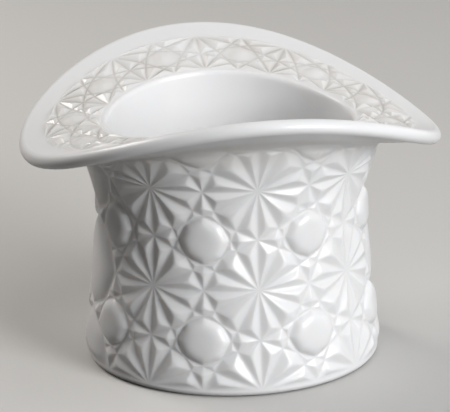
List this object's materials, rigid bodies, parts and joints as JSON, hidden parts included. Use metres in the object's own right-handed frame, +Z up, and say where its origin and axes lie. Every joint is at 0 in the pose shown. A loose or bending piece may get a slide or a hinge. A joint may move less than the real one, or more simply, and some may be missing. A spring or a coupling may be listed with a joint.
{
  "type": "glass hat",
  "caption": "Pressed milk-glass top hat standing on its crown: open, smooth inside, with faceted daisies and round buttons outside and a curled saddle brim with a rounded rim.",
  "frame": {"origin": "middle of the resting face under the base", "axes": "+Z up, +X towards one drooping brim tip, -Y towards the turned-up side that faces the picture"},
  "size_m": [0.1184, 0.1204, 0.0824],
  "materials": {
    "milk_glass": "fire-polished, opaque white"
  },
  "bodies": {
    "root": {"base": "milk_glass", "crown_wall": "milk_glass", "brim": "milk_glass", "rim": "milk_glass"}
  },
  "joints": []
}
